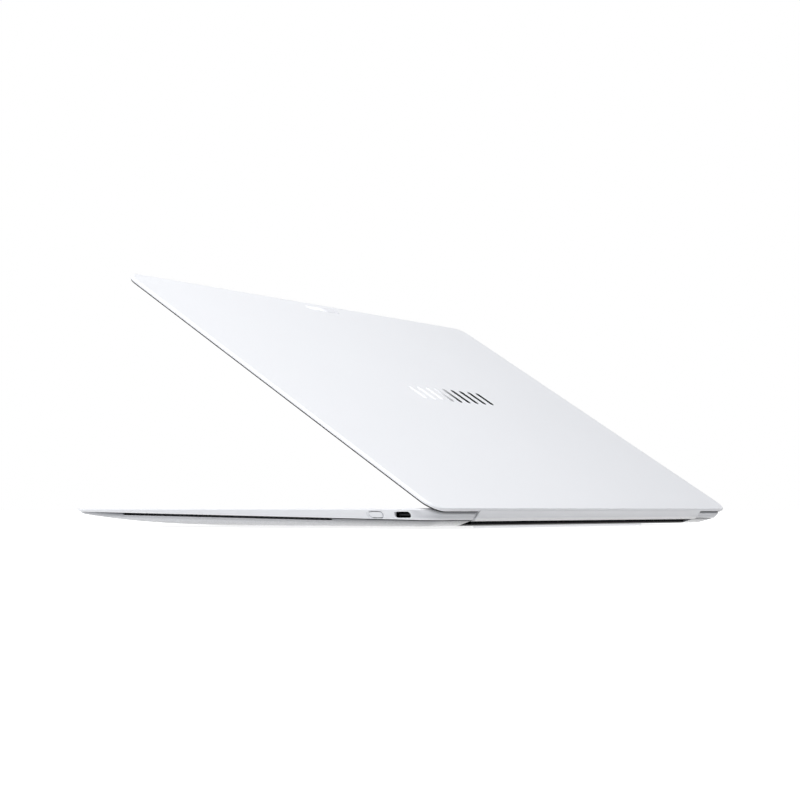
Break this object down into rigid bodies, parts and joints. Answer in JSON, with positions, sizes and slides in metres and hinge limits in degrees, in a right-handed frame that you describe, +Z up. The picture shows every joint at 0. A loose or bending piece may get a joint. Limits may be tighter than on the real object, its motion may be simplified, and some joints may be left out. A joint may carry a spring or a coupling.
{
  "type": "laptop computer",
  "caption": "Slim pearl-white laptop computer with a wedge-shaped base, a thin lid on a full-width hinge spine, keyboard, touchpad, side vent slots and USB-C ports.",
  "frame": {"origin": "on the desk plane, under the centre of the base's footprint", "axes": "+X to the user's right, +Y towards the hinge at the rear, +Z up"},
  "size_m": [0.31, 0.22, 0.1258],
  "materials": {
    "white_shell": "fine bead blasted, anodised pearl white",
    "bottom_shell": "satin pearl white",
    "spine": "satin pearl grey-white",
    "feet": "matt light grey",
    "screw": "satin",
    "steel": "satin",
    "keycap": "fine matt",
    "key_plate": "satin",
    "touchpad": "silky matt",
    "battery": "matt",
    "board": "solder mask",
    "fan": "matt",
    "copper": "satin copper",
    "fins": "satin",
    "vent": "matt black",
    "port": "satin",
    "speaker": "matt",
    "gasket": "matt",
    "screen_glass": "gloss",
    "panel": "matt",
    "camera": "matt",
    "polished": "mirror polished",
    "cable": "matt",
    "magnet": "satin"
  },
  "bodies": {
    "base": {"top_case": "white_shell", "bottom_cover": "bottom_shell", "rubber_feet": "feet", "bottom_screws": "screw", "keyboard_plate": "key_plate", "touchpad_frame": "steel", "battery_pack": "battery", "mainboard": "board", "ssd_module": "board", "wifi_card": "board", "fan_housing_left": "fan", "fan_housing_right": "fan", "heat_pipe": "copper", "heat_sinks": "fins", "rear_vent_grille": "vent", "side_vent_meshes": "vent", "speakers": "speaker", "io_boards": "board", "usb_c_port_right": "port", "usb_c_ports_left": "port", "hinge_bracket_left": "steel", "hinge_bracket_right": "steel", "hinge_screws": "screw"},
    "lid": {"hinge_shaft_left": "steel", "hinge_shaft_right": "steel", "hinge_arm_left": "steel", "hinge_arm_right": "steel", "hinge_spine": "spine", "lid_cover": "white_shell", "lid_gasket": "gasket", "display_panel": "panel", "display_glass": "screen_glass", "camera_module": "camera", "antenna_insert": "polished", "lid_emblem": "polished", "display_cable": "cable", "lid_magnets": "magnet"},
    "power_button": {"power_button": "white_shell"},
    "touchpad": {"touchpad": "touchpad"},
    "fan_rotor_left": {"fan_rotor_left": "fan"},
    "fan_rotor_right": {"fan_rotor_right": "fan"},
    "function_keys": {"function_keys": "keycap"},
    "number_keys": {"number_keys": "keycap"},
    "upper_letter_keys": {"upper_letter_keys": "keycap"},
    "middle_letter_keys": {"middle_letter_keys": "keycap"},
    "lower_letter_keys": {"lower_letter_keys": "keycap"},
    "bottom_row_keys": {"bottom_row_keys": "keycap"},
    "space_bar": {"space_bar": "keycap"},
    "enter_key": {"enter_key": "keycap"},
    "backspace_key": {"backspace_key": "keycap"},
    "tab_key": {"tab_key": "keycap"},
    "caps_lock_key": {"caps_lock_key": "keycap"},
    "shift_key_left": {"shift_key_left": "keycap"},
    "shift_key_right": {"shift_key_right": "keycap"},
    "arrow_keys": {"arrow_keys": "keycap"}
  },
  "joints": [
    {"name": "lid_hinge", "type": "hinge", "parent": "base", "child": "lid", "pos_m": [0, 0.1058, 0.00625], "axis": [-1, 0, 0], "range_deg": [-32.5, 102.5]},
    {"name": "power_button_press", "type": "slide", "parent": "base", "child": "power_button", "axis": [-1, 0, 0], "range_m": [0, 0.0003]},
    {"name": "touchpad_press", "type": "hinge", "parent": "base", "child": "touchpad", "pos_m": [0, -0.021, 0.0086], "axis": [1, 0, 0], "range_deg": [0, 0.25]},
    {"name": "fan_left_spin", "type": "hinge", "parent": "base", "child": "fan_rotor_left", "pos_m": [-0.1, 0.069, 0.004], "axis": [0, 0, 1], "continuous": true},
    {"name": "fan_right_spin", "type": "hinge", "parent": "base", "child": "fan_rotor_right", "pos_m": [0.1, 0.069, 0.004], "axis": [0, 0, 1], "continuous": true},
    {"name": "function_press", "type": "slide", "parent": "base", "child": "function_keys", "axis": [0, 0, -1], "range_m": [0, 0.0012]},
    {"name": "number_press", "type": "slide", "parent": "base", "child": "number_keys", "axis": [0, 0, -1], "range_m": [0, 0.0012]},
    {"name": "upper_letter_press", "type": "slide", "parent": "base", "child": "upper_letter_keys", "axis": [0, 0, -1], "range_m": [0, 0.0012]},
    {"name": "middle_letter_press", "type": "slide", "parent": "base", "child": "middle_letter_keys", "axis": [0, 0, -1], "range_m": [0, 0.0012]},
    {"name": "lower_letter_press", "type": "slide", "parent": "base", "child": "lower_letter_keys", "axis": [0, 0, -1], "range_m": [0, 0.0012]},
    {"name": "bottom_row_press", "type": "slide", "parent": "base", "child": "bottom_row_keys", "axis": [0, 0, -1], "range_m": [0, 0.0012]},
    {"name": "space_bar_press", "type": "slide", "parent": "base", "child": "space_bar", "axis": [0, 0, -1], "range_m": [0, 0.0012]},
    {"name": "enter_press", "type": "slide", "parent": "base", "child": "enter_key", "axis": [0, 0, -1], "range_m": [0, 0.0012]},
    {"name": "backspace_press", "type": "slide", "parent": "base", "child": "backspace_key", "axis": [0, 0, -1], "range_m": [0, 0.0012]},
    {"name": "tab_press", "type": "slide", "parent": "base", "child": "tab_key", "axis": [0, 0, -1], "range_m": [0, 0.0012]},
    {"name": "caps_lock_press", "type": "slide", "parent": "base", "child": "caps_lock_key", "axis": [0, 0, -1], "range_m": [0, 0.0012]},
    {"name": "shift_left_press", "type": "slide", "parent": "base", "child": "shift_key_left", "axis": [0, 0, -1], "range_m": [0, 0.0012]},
    {"name": "shift_right_press", "type": "slide", "parent": "base", "child": "shift_key_right", "axis": [0, 0, -1], "range_m": [0, 0.0012]},
    {"name": "arrow_press", "type": "slide", "parent": "base", "child": "arrow_keys", "axis": [0, 0, -1], "range_m": [0, 0.0012]}
  ]
}
